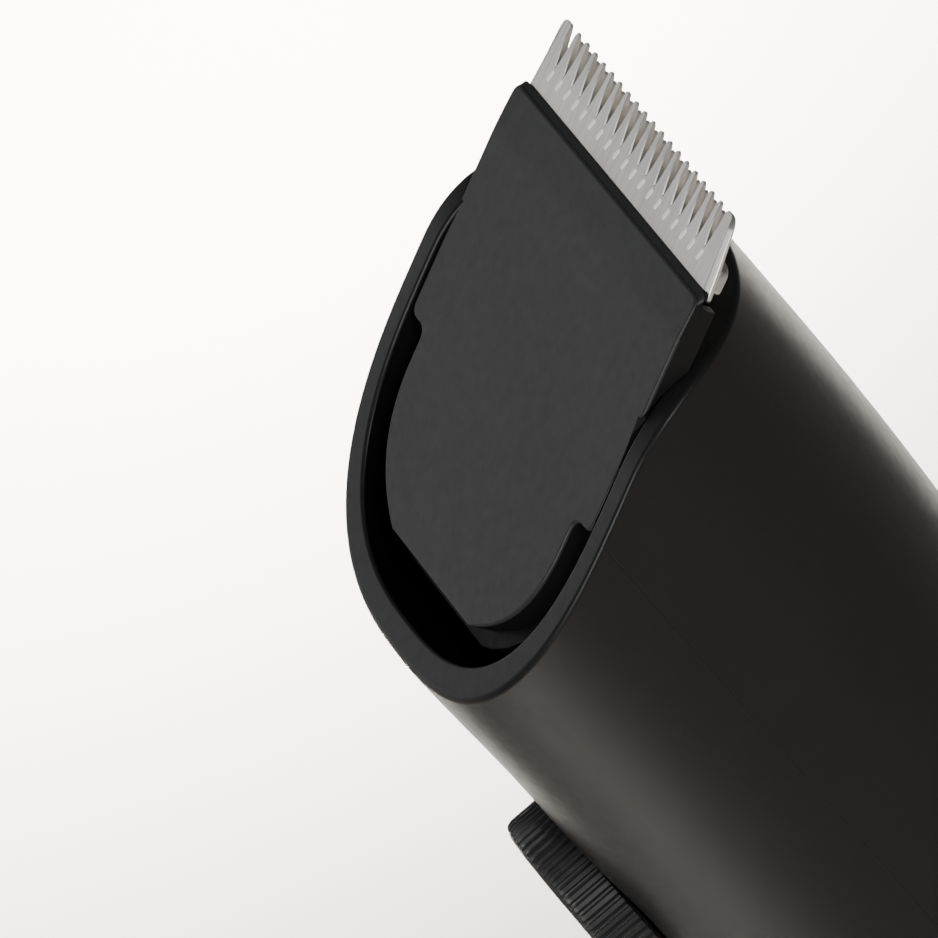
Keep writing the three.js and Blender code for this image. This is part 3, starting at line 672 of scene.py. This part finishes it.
def makeRearShell(spec):
    cutY = body["seamY"] + spec["seamGap"] / 2
    path, columns = wallSection(spec), spec["rearColumns"]
    shell = bodyWall("rear_shell_skin", path, columns, True, cutY, spec["bottomZ"])
    for side in (-1, 1):
        place = backwards(side * caseScrewSpec["x"], 0, caseScrewSpec["z"])
        boss = rod("boss", caseScrewSpec["boss"], *caseScrewSpec["bossY"], place, 64)
        within = bodySolid("within", caseScrewSpec["bossInset"], *caseScrewSpec["bossZ"], 4)
        carve(boss, within, "INTERSECT")
        carve(shell, boss, "UNION")
        carve(shell, rod("bore", caseScrewSpec["counterbore"], caseScrewSpec["floorY"], 30, place, 64))
        carve(shell, rod("bore", caseScrewSpec["hole"], -10, 30, place, 32))
    corner = socketSpec["corner"]
    halfX, halfZ = socketSpec["halfX"] - corner, socketSpec["halfZ"] - corner
    outline = []
    for sideX, sideZ, start in ((1, 1, 0), (-1, 1, 90), (-1, -1, 180), (1, -1, 270)):
        for i in range(7):
            turn = math.radians(start + 15 * i)
            x, z = sideX * halfX + corner * math.cos(turn), sideZ * halfZ + corner * math.sin(turn)
            outline.append((x, z))
    carve(shell, prism("mouth", outline, 10, 30, backwards(0, 0, socketSpec["z"])))
    return shell


def facesInwards(centre, normal):
    middleY = sectionAt(centre.z)[2]
    return abs(normal.z) < 0.35 and centre.x * normal.x + (centre.y - middleY) * normal.y < 0


frontShell = makeFrontShell(shellSpec)
rearShell = makeRearShell(shellSpec)
for shell, node in ((frontShell, "front_shell"), (rearShell, "rear_shell")):
    paint(shell, finishes["casing"])
    # the shells' inward faces get the darker inner black plastic, as painted shade inside the mouth
    paintWhere(shell, finishes["inner"], facesInwards)
    smoothOver(shell)
    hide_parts(node)
    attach(shell, "housing")
print("shells made")


# The foot: a flat face with a rounded edge, and a collar that plugs into the shells
def makeBaseCap():
    roundZ, topZ, wall = body["baseRound"], body["capTopZ"], body["wall"]
    profile = [(0, roundZ * (1 - math.cos(math.radians(7.5 * i)))) for i in range(13)]
    profile += [(0, 6), (0, topZ - 0.25), (0.08, topZ - 0.08), (0.25, topZ), (wall + 0.3, topZ)]
    profile += [(wall + 0.3, topZ + 4), (wall + 1.7, topZ + 4), (wall + 1.7, 2.6), (wall + 2, 2.4)]
    rings = [[bodyPoint(2 * math.pi * j / 160, z, inset) for j in range(160)] for inset, z in profile]
    return skinRings("base_cap_skin", rings)


baseCap = makeBaseCap()
paint(baseCap, finishes["casing"])
smoothOver(baseCap)
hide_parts("base_cap")
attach(baseCap, "housing")

# Head cover
coverSpec = {
    "halfX": 20.9,
    "tongueHalfX": 17.7,
    "tongueFlat": 8.9,
    "frontY": -19.44,
    "notchY": -3.82,
    "bendY": 15.33,
    "bendSlope": 0.063,
    "endY": 20.1,
    "stepY": 19.6,
    "skirtEndY": 18.7,
    "corner": 1.1,
    "plate": 0.9,
    "skirt": 1.2,
    "depth": 2.4,
    "edge": 0.3,
}


def coverOutline(inset, endY, steps=12):
    wide, slim = coverSpec["halfX"] - inset, coverSpec["tongueHalfX"] - inset
    notch, corner = coverSpec["notchY"] + inset, coverSpec["corner"]
    flat, frontY = coverSpec["tongueFlat"], coverSpec["frontY"] + inset
    half = [(wide - corner, endY)]
    half += bow(half[-1], (wide, endY), (wide, endY - corner), steps)
    half += [(wide, mix(endY, notch, i / 6)) for i in range(1, 6)] + [(wide, notch + 1.2)]
    half += bow(half[-1], (wide, notch), (wide - 1.2, notch), steps)
    half += [(slim + 1.4, notch)]
    half += bow(half[-1], (slim, notch), (slim, notch - 1.4), steps)
    half += [(slim, -6.8)]
    half += bezier(half[-1], (slim, -13), (14.6 - inset, -17 + inset), (flat, frontY), 3 * steps)
    return bothSides(half)


# The plate bends down a little towards the blade
def bendDrop(y):
    spread, slope, middle = 0.75, coverSpec["bendSlope"], coverSpec["bendY"]
    past = y - middle + spread
    if past <= 0:
        return 0
    if past < 2 * spread:
        return slope * past * past / (4 * spread)
    return slope * (y - middle)


def makeCover():
    edge, depth, endY = coverSpec["edge"], coverSpec["depth"], coverSpec["endY"]
    stepY, plate = coverSpec["stepY"], coverSpec["plate"]
    levels = [(0, -depth, endY), (0, -plate, endY), (0, -edge, stepY)]
    for i in range(1, 6):
        turn = math.radians(18 * i)
        inset = edge * (1 - math.cos(turn))
        levels.append((inset, -edge * (1 - math.sin(turn)), stepY - inset))
    rings = [[(x, y, z) for x, y in coverOutline(inset, end)] for inset, z, end in levels]
    cover = skinRings("head_cover_skin", rings)
    work = bmesh.new()
    work.from_mesh(cover.data)
    for i in range(7):
        at = (coverSpec["bendY"] + 0.25 * (i - 3)) * mm
        parts = list(work.verts) + list(work.edges) + list(work.faces)
        bmesh.ops.bisect_plane(work, geom=parts, plane_co=(0, at, 0), plane_no=(0, 1, 0), dist=1e-7)
    for vert in work.verts:
        weight = min(1, max(0, vert.co.z / mm / plate + 1))
        vert.co.z -= bendDrop(vert.co.y / mm) * weight * mm
    work.to_mesh(cover.data)
    work.free()
    carve(cover, prism("hollow", coverOutline(coverSpec["skirt"], endY + 5), -9, -plate))
    carve(cover, block("shoulders", (-40, coverSpec["skirtEndY"], -9), (40, 30, -plate)))
    shift(cover, headPlace)
    room = carve(belowRim("room", 0.4), bodySolid("mouth", body["wall"] + 0.5, 90, 190, 40))
    return carve(cover, room)


def onTheSkirt(centre, normal):
    local = headPlace.inverted() @ centre
    outwards = headPlace.to_3x3().transposed() @ normal
    return outwards.z < 0.3 and local.z < -0.9 * coverSpec["edge"]


cover = makeCover()
paint(cover, finishes["cover"])
# the skirt's faces get the darker copy of the cover plastic, as painted shade
paintWhere(cover, finishes["skirt"], onTheSkirt)
smoothOver(cover, 28)
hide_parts("head_cover")
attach(cover, "cutting_head")
print("cover made")


# Geometry Nodes: helpers, and one tree for each kind of repeat
def newTree(name, **inputs):
    tree = bpy.data.node_groups.new(name, "GeometryNodeTree")
    tree.is_modifier = True
    tree.interface.new_socket("Geometry", in_out="INPUT", socket_type="NodeSocketGeometry")
    for title, kind in inputs.items():
        tree.interface.new_socket(title, in_out="INPUT", socket_type="NodeSocket" + kind)
    tree.interface.new_socket("Geometry", in_out="OUTPUT", socket_type="NodeSocketGeometry")
    given = tree.nodes.new("NodeGroupInput").outputs
    return tree, given, tree.nodes.new("NodeGroupOutput").inputs["Geometry"]


# Copies of an object at the points of a mesh
def copiesAt(tree, points, copied, **more):
    source = tree.nodes.new("GeometryNodeObjectInfo")
    tree.links.new(copied, source.inputs["Object"])
    place = tree.nodes.new("GeometryNodeInstanceOnPoints")
    tree.links.new(points, place.inputs["Points"])
    tree.links.new(source.outputs["Geometry"], place.inputs["Instance"])
    for title, value in more.items():
        tree.links.new(value, place.inputs[title])
    return place.outputs["Instances"]


# Makes everything real and gives it a material
def madeReal(tree, shape, material):
    real = tree.nodes.new("GeometryNodeRealizeInstances")
    tree.links.new(shape, real.inputs["Geometry"])
    setting = tree.nodes.new("GeometryNodeSetMaterial")
    tree.links.new(real.outputs["Geometry"], setting.inputs["Geometry"])
    tree.links.new(material, setting.inputs["Material"])
    return setting.outputs["Geometry"]


def joined(tree, *shapes):
    joining = tree.nodes.new("GeometryNodeJoinGeometry")
    for shape in shapes:
        tree.links.new(shape, joining.inputs["Geometry"])
    return joining.outputs["Geometry"]


# A row of copies of an object along X, centred on X = 0
def copiesInARow(tree, count, pitch, copied):
    line = tree.nodes.new("GeometryNodeMeshLine")
    half = calculate(tree, "MULTIPLY", calculate(tree, "SUBTRACT", count, 1), -0.5)
    tree.links.new(count, line.inputs["Count"])
    start = vectorOf(tree, X=calculate(tree, "MULTIPLY", half, pitch))
    tree.links.new(start, line.inputs["Start Location"])
    tree.links.new(vectorOf(tree, X=pitch), line.inputs["Offset"])
    return copiesAt(tree, line.outputs["Mesh"], copied)


# Cuts a row of slots into a plate
def slotTree():
    tree, given, leave = newTree(
        "row of slots", Slots="Int", Pitch="Float", Slot="Object", Steel="Material"
    )
    slots = copiesInARow(tree, given["Slots"], given["Pitch"], given["Slot"])
    real = tree.nodes.new("GeometryNodeRealizeInstances")
    tree.links.new(slots, real.inputs["Geometry"])
    cutting = tree.nodes.new("GeometryNodeMeshBoolean")
    cutting.operation = "DIFFERENCE"
    cutting.solver = "EXACT"
    tree.links.new(given["Geometry"], cutting.inputs["Mesh 1"])
    tree.links.new(real.outputs["Geometry"], cutting.inputs["Mesh 2"])
    tree.links.new(madeReal(tree, cutting.outputs["Mesh"], given["Steel"]), leave)
    return tree


# Sets a row of small marks beside the slots, which carry a painted highlight; the plate keeps its own
# material
def markTree():
    tree, given, leave = newTree(
        "row of marks", Marks="Int", Pitch="Float", Mark="Object", Polish="Material"
    )
    marks = copiesInARow(tree, given["Marks"], given["Pitch"], given["Mark"])
    tree.links.new(joined(tree, given["Geometry"], madeReal(tree, marks, given["Polish"])), leave)
    return tree


# Sets copies of a rib round a knob whose axis is Z
def ribTree():
    tree, given, leave = newTree(
        "ring of ribs", Ribs="Int", Radius="Float", Rib="Object", Plastic="Material"
    )
    ring = tree.nodes.new("GeometryNodeMeshCircle")
    tree.links.new(given["Ribs"], ring.inputs["Vertices"])
    tree.links.new(given["Radius"], ring.inputs["Radius"])
    number = tree.nodes.new("GeometryNodeInputIndex").outputs[0]
    turn = calculate(tree, "DIVIDE", calculate(tree, "MULTIPLY", number, 2 * math.pi), given["Ribs"])
    ribs = copiesAt(tree, ring.outputs["Mesh"], given["Rib"], Rotation=vectorOf(tree, Z=turn))
    tree.links.new(madeReal(tree, joined(tree, given["Geometry"], ribs), given["Plastic"]), leave)
    return tree


# Sets one screw at each point of a mesh
def screwTree():
    tree, given, leave = newTree("set of screws", Screw="Object", Steel="Material")
    screws = copiesAt(tree, given["Geometry"], given["Screw"])
    tree.links.new(madeReal(tree, screws, given["Steel"]), leave)
    return tree


# Runs a tree on an object and leaves a plain mesh
def grow(obj, tree, **values):
    growing = obj.modifiers.new("grow", "NODES")
    growing.node_group = tree
    for item in tree.interface.items_tree:
        if item.in_out == "INPUT" and item.name in values:
            growing[item.identifier] = values[item.name]
    return settle(obj)


slotsIn = slotTree()
marksOn = markTree()
ribsOn = ribTree()
screwsAt = screwTree()
print("node trees made")

# Blades
combSpec = {
    "halfX": 20.4,
    "tipHalfX": 19.6,
    "tipY": 27,
    "rootY": 23.1,
    "shoulderY": 19,
    "tailHalfX": 18.8,
    "tailY": 8,
    "topZ": -1,
    "thick": 0.9,
    "chamfer": 0.55,
    "slots": 19,
    "pitch": 1.9,
    "slotHalf": 0.56,
    "toothRound": 0.34,
    "toothChamfer": 0.1,
    "taper": 0.118,
    "tipDroop": 0.012,
    "markLong": 1.3,
    "markWide": 0.48,
    "markHigh": 0.07,
    "markAcross": -0.15,
    "markY": 22.15,
    "markLean": 22,
}
cutterSpec = {
    "halfX": 17.6,
    "earHalfX": 19.2,
    "earLowY": 19.3,
    "earTopY": 22.3,
    "tailHalfX": 16.4,
    "tipY": 25.9,
    "rootY": 22.3,
    "tailY": 12.4,
    "topZ": -2.2,
    "thick": 1,
    "slots": 18,
    "slotHalf": 0.6,
    "toothRound": 0.32,
    "toothChamfer": 0.06,
    "taper": 0.21,
    "tipDroop": 0,
    "chamfer": 0.25,
}


# One slot, pointed at the root and flared at the tooth tips, a little wider at its top edge
def makeSlot(spec):
    tipY, rootY, topZ = spec["tipY"], spec["rootY"], spec["topZ"]
    half, tipRound, chamfer = spec["slotHalf"], spec["toothRound"], spec["toothChamfer"]
    widestY, bellyY = tipY - 2.4 * tipRound, (rootY + tipY) / 2

    def outline(grown):
        side = [(0.03 + grown, rootY - grown), (0.5 * half + grown, mix(rootY, bellyY, 0.5))]
        side += [(0.85 * half + grown, bellyY), (half + grown, widestY)]
        side += bow((half + grown, widestY), (half + grown, tipY), (half + tipRound, tipY + 0.01), 7)
        return bothSides(side + [(half + tipRound, tipY + 1)])

    levels = [(0, topZ - 3), (0, topZ - chamfer), (chamfer, topZ), (chamfer, topZ + 1)]
    return layered("slot", outline, levels)


def combOutline(inset):
    spec = combSpec
    tip, side, shoulder = spec["tipHalfX"] - inset, spec["halfX"] - inset, spec["shoulderY"]
    half = [(tip - 0.9 + inset, spec["tipY"])]
    half += bow(half[-1], (tip, spec["tipY"]), (tip + 0.1, spec["tipY"] - 1.2), 8)
    half += [(side, shoulder + 0.7)]
    half += bow(half[-1], (side, shoulder), (side - 0.7, shoulder), 8)
    return bothSides(half + [(spec["tailHalfX"], shoulder), (spec["tailHalfX"], spec["tailY"])])


def cutterOutline(inset):
    spec = cutterSpec
    ear, low, top = spec["earHalfX"] - inset, spec["earLowY"] + inset, spec["earTopY"] - inset
    half = [(spec["halfX"], spec["tipY"]), (spec["halfX"], top)]
    half += bow(half[-1], (ear, top), (ear, spec["earTopY"] - 1.2), 8)
    half += [(ear, spec["earLowY"] + 0.8)]
    half += bow(half[-1], (ear, low), (spec["halfX"], low), 8)
    return bothSides(half + [(spec["tailHalfX"], low - 0.8), (spec["tailHalfX"], spec["tailY"])])


# Cuts the slots of a blade, then lifts its underside towards the tips
def cutTeeth(blade, spec, steel):
    topZ = spec["topZ"]
    slot = makeSlot(spec)
    grow(blade, slotsIn, Slots=spec["slots"], Pitch=combSpec["pitch"] * mm, Slot=slot, Steel=steel)
    bpy.data.objects.remove(slot)
    for vert in blade.data.vertices:
        past = vert.co.y / mm - combSpec["rootY"]
        if past > 0:
            low = min(1, max(0, (topZ - vert.co.z / mm) / spec["thick"]))
            vert.co.z += spec["taper"] * past * low * mm
            vert.co.z -= spec["tipDroop"] * past * past * (1 - low) * mm
    paint(blade, steel)
    return smoothOver(blade, 30)


def makeComb(spec):
    chamfer, topZ, lowZ = spec["chamfer"], spec["topZ"], spec["topZ"] - spec["thick"]
    levels = [(0.12, lowZ), (0, lowZ + 0.12), (0, topZ - 0.85 * chamfer), (0.04, topZ - 0.75 * chamfer),
              (0.9 * chamfer, topZ - 0.04), (chamfer, topZ)]
    comb = cutTeeth(layered("fixed_blade_skin", combOutline, levels), spec, finishes["blade"])
    mark = makeMark(spec)
    grow(comb, marksOn, Marks=spec["slots"], Pitch=spec["pitch"] * mm, Mark=mark, Polish=finishes["mark"])
    bpy.data.objects.remove(mark)
    return shift(comb, headPlace)


# A small raised run-out beside a slot's root, coloured near white as a painted highlight
def makeMark(spec):
    long, wide, high = spec["markLong"] / 2, spec["markWide"] / 2, spec["markHigh"]
    rings = []
    for share, height in ((1, -0.1), (1, 0.2), (0.85, 0.75), (0.6, 1)):
        ring, reach = [], wide * share
        for i in range(20):
            turn = 2 * math.pi * i / 20
            stretch = math.copysign(long - wide, math.sin(turn))
            ring.append((reach * math.cos(turn), reach * math.sin(turn) + stretch, height * high))
        rings.append(ring)
    spot = Matrix.Translation((spec["markAcross"], spec["markY"], spec["topZ"]))
    return skinRings("mark", rings, spot @ Matrix.Rotation(math.radians(-spec["markLean"]), 4, "Z"))


def makeCutter(spec):
    chamfer, topZ, lowZ = spec["chamfer"], spec["topZ"], spec["topZ"] - spec["thick"]
    levels = [(0.1, lowZ), (0, lowZ + 0.1), (0, topZ - chamfer), (0.3 * chamfer, topZ - 0.3 * chamfer),
              (chamfer, topZ)]
    cutter = cutTeeth(layered("cutter_skin", cutterOutline, levels), spec, finishes["cutter"])
    return shift(cutter, headPlace)


combBlade = makeComb(combSpec)
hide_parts("fixed_blade")
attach(combBlade, "cutting_head")
cutterBlade = makeCutter(cutterSpec)
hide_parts("cutter")
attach(cutterBlade, "moving_blade")
print("blades made")


# Dial: a plain knob with a ring of fine ribs
def makeDial(spec):
    radius, deep, rounding = spec["radius"], spec["backY"] - spec["frontY"], spec["round"]
    core = radius - spec["ribDepth"]
    profile = [(0, 0), (core - 0.3, 0), (core, 0.3), (core, deep - rounding)]
    profile += quarterRound(core, deep, rounding)
    profile += [(core - 1.6, deep), (core - 2.2, deep - 0.35), (core - 5, deep - 0.6)]
    profile += [(2.2, deep - 0.7), (0, deep - 0.7)]
    knob = turned("dial_knob_skin", profile, sides=160)
    rib = makeRib(core, deep, rounding, 2 * math.pi * core / spec["ribs"] * 0.3, spec["ribDepth"])
    grow(knob, ribsOn, Ribs=spec["ribs"], Radius=core * mm, Rib=rib, Plastic=finishes["dial"])
    bpy.data.objects.remove(rib)
    return shift(knob, frontwards(0, spec["backY"], spec["z"]))


# One rib, its foot inside the knob; it follows the knob's rounded edge
def makeRib(core, deep, rounding, half, height):
    rises = [(0.15, 0.0), (0.3, 1.0), (deep - rounding - 0.1, 1.0)]
    rises += [(deep - 0.5 * rounding, 0.55), (deep - 0.28 * rounding, -0.1)]
    rings = []
    for along, rise in rises:
        top = height * rise
        ring = [(-0.25, -half, along), (0, -half, along)]
        ring += [(0.55 * top, -0.72 * half, along), (top, -0.25 * half, along)]
        ring += [(x, -y, z) for x, y, z in reversed(ring)]
        rings.append(ring)
    return skinRings("rib", rings)


dial = makeDial(dialSpec)
paint(dial, finishes["dial"])
smoothOver(dial, 40, weighted=False)
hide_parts("dial_knob")
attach(dial, "dial")


# Button with a shallow dish, and a flange behind the wall
def makeButton(spec):
    wallY, top = frontAt(spec["z"]), spec["proud"]
    radius, edge, dish = spec["radius"], spec["edge"], spec["dish"]
    low = wallY - spec["flangeY"]
    step = low + spec["flangeThick"]
    profile = [(0, low), (spec["flange"], low), (spec["flange"], step), (radius, step)]
    profile += [(radius, top - edge)]
    profile += quarterRound(radius, top, edge)
    for i in range(1, 13):
        share = i / 12
        profile.append(((radius - edge) * (1 - share), top - dish * smoothStep(share, 0, 1)))
    return turned("power_button_skin", profile, frontwards(0, wallY, spec["z"]), 128)


button = makeButton(buttonSpec)
paint(button, finishes["button"])
smoothOver(button)
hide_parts("power_button")
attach(button, "power_button")


# Indicator lens, slightly domed
def makeLens(spec):
    wallY = frontAt(spec["z"])
    radius, deep, sink, dome = spec["radius"], spec["backY"] - wallY, spec["sink"], spec["dome"]
    profile = [(0, -deep), (radius, -deep), (radius, -sink)]
    for i in range(1, 6):
        turn = math.radians(15 * i)
        profile.append((radius * math.cos(turn), -sink + dome * math.sin(turn)))
    return turned("indicator_lens_skin", profile + [(0, -0.1)], frontwards(0, wallY, spec["z"]), 48)


lens = makeLens(lensSpec)
paint(lens, finishes["lens"])
smoothOver(lens)
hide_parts("indicator_lens")
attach(lens, "housing")

# Screws: each set is one screw repeated at its points
screwSets = {
    "case_screws": {"at": [(x, 4.1, 28) for x in (-13.6, 13.6)], "head": 2.5, "high": 1.5, "shank": 1.2,
                    "long": 13, "turn": backwards(0, 0, 0), "place": upright, "body": "housing",
                    "nodes": ("case_screw_left", "case_screw_right")},
    "chassis_screws": {"at": [(x, -7.5, 134.4) for x in (-17, 17)], "head": 2.4, "high": 1.4, "shank": 1.1,
                       "long": 9, "turn": upright, "place": upright, "body": "housing",
                       "nodes": ("chassis_screw_left", "chassis_screw_right")},
    "motor_screws": {"at": [(x, 5, 134.4) for x in (-9, 9)], "head": 2, "high": 1.2, "shank": 1,
                     "long": 3.6, "turn": upright, "place": upright, "body": "housing",
                     "nodes": ("motor_screw_left", "motor_screw_right")},
    "head_screws": {"at": [(x, 10, -7.3) for x in (-14.5, 14.5)], "head": 2, "high": 1.2, "shank": 1.05,
                    "long": 5.7, "turn": Matrix.Rotation(math.pi, 4, "X"), "place": headPlace,
                    "body": "cutting_head", "nodes": ("head_screw_left", "head_screw_right")},
}


def makeScrews(name, spec):
    radius, high, shank, long = spec["head"], spec["high"], spec["shank"], spec["long"]
    profile = [(0, -long), (0.4 * shank, -long), (shank, -long + 1.2)]
    turns = int((long - 2) / 0.7)
    for i in range(turns):
        profile += [(0.8 * shank, -long + 1.4 + 0.7 * i), (shank, -long + 1.75 + 0.7 * i)]
    profile += [(0.8 * shank, -0.3), (0.8 * shank, 0), (radius, 0), (radius, 0.45 * high)]
    for i in range(1, 5):
        turn = math.radians(18 * i)
        profile.append((radius * math.cos(turn) ** 0.5, high * (0.45 + 0.55 * math.sin(turn))))
    screw = turned("screw", profile + [(0, high)], sides=32)
    for x, y in ((0.6 * radius, 0.28), (0.28, 0.6 * radius)):
        carve(screw, block("recess", (-x, -y, 0.45 * high), (x, y, 2 * high)))
    shift(screw, spec["turn"])
    smoothOver(screw, 35, weighted=False)
    cloud = bpy.data.meshes.new(name)
    cloud.from_pydata([tuple(c * mm for c in p) for p in spec["at"]], [], [])
    screws = linkObject(name, cloud)
    grow(screws, screwsAt, Screw=screw, Steel=finishes["screw"])
    bpy.data.objects.remove(screw)
    shift(screws, spec["place"])
    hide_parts(*spec["nodes"])
    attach(screws, spec["body"])


for name, spec in screwSets.items():
    makeScrews(name, spec)
print("dial, button, lens and screws made")

# Floor, light and camera
studioSpec = {
    "floorTone": (0.86, 0.80, 0.74),
    "worldTone": (0.9, 0.95, 1.0),
    "worldStrength": 0.12,
    "focalLength": 639,
    "cameraAt": (1.16404, 0.02988, 1.02415),
    "cameraRight": (0.37001, 0.76043, -0.5337),
    "cameraUp": (-0.46594, 0.64889, 0.60153),
    "cameraBack": (0.80374, 0.02609, 0.59441),
}
lightSpecs = {
    "pool": {"at": (-0.34, 0.02, 0.75), "to": (-0.32, 0.01, 0), "size": 0.15, "spread": 30, "power": 2.8},
    "broad": {"at": (-1.45, -0.95, 0.3), "to": (0, 0, 0.16), "size": 1.3, "spread": 180, "power": 4.8},
    "side": {"at": (1.2, 0.35, 0.95), "to": (0, 0, 0.1), "size": 0.3, "spread": 120, "power": 4},
    "front": {"at": (0.77, -1.07, 1.0), "to": (0, 0, 0.16), "size": 0.6, "spread": 120, "power": 7},
    "near": {"at": (0.14, -0.33, 0.5), "to": (0.09, -0.2, 0), "size": 0.1, "spread": 30, "power": 0.36},
}


def makeFloor():
    plane = block("studio_floor", (-4000, -4000, -20), (4000, 4000, -0.02))
    material = bpy.data.materials.new("pale floor")
    material.use_nodes = True
    tree = material.node_tree
    surface = tree.nodes["Principled BSDF"]
    drift = noiseIn(tree, objectPlace(tree), 0.6, 2, 0.4)
    red, green, blue = studioSpec["floorTone"]
    tone = blendColours(tree, drift, (red, green, blue, 1), (red, green * 0.98, blue * 0.95, 1))
    tree.links.new(tone, surface.inputs["Base Color"])
    surface.inputs["Roughness"].default_value = 0.7
    surface.inputs["Specular IOR Level"].default_value = 0.2
    plane.data.materials.append(material)


def makeLight(name, spec):
    lamp = bpy.data.lights.new(name, "AREA")
    lamp.shape = "SQUARE"
    lamp.size = spec["size"]
    lamp.energy = spec["power"]
    lamp.spread = math.radians(spec["spread"])
    obj = linkObject(name, lamp)
    obj.location = spec["at"]
    away = Vector(spec["at"]) - Vector(spec["to"])
    obj.rotation_euler = away.to_track_quat("Z", "Y").to_euler()


def makeCamera():
    lensing = bpy.data.cameras.new("camera")
    lensing.sensor_width = 36
    lensing.lens = studioSpec["focalLength"]
    camera = linkObject("camera", lensing)
    axes = Matrix([studioSpec[name] for name in ("cameraRight", "cameraUp", "cameraBack")]).transposed()
    camera.matrix_world = Matrix.Translation(studioSpec["cameraAt"]) @ axes.to_4x4()
    bpy.context.scene.camera = camera


def makeWorld():
    world = bpy.data.worlds.new("studio")
    world.use_nodes = True
    sky = world.node_tree.nodes["Background"]
    sky.inputs["Color"].default_value = (*studioSpec["worldTone"], 1)
    sky.inputs["Strength"].default_value = studioSpec["worldStrength"]
    bpy.context.scene.world = world


makeFloor()
for name, spec in lightSpecs.items():
    makeLight(name, spec)
makeCamera()
makeWorld()
print("studio made")
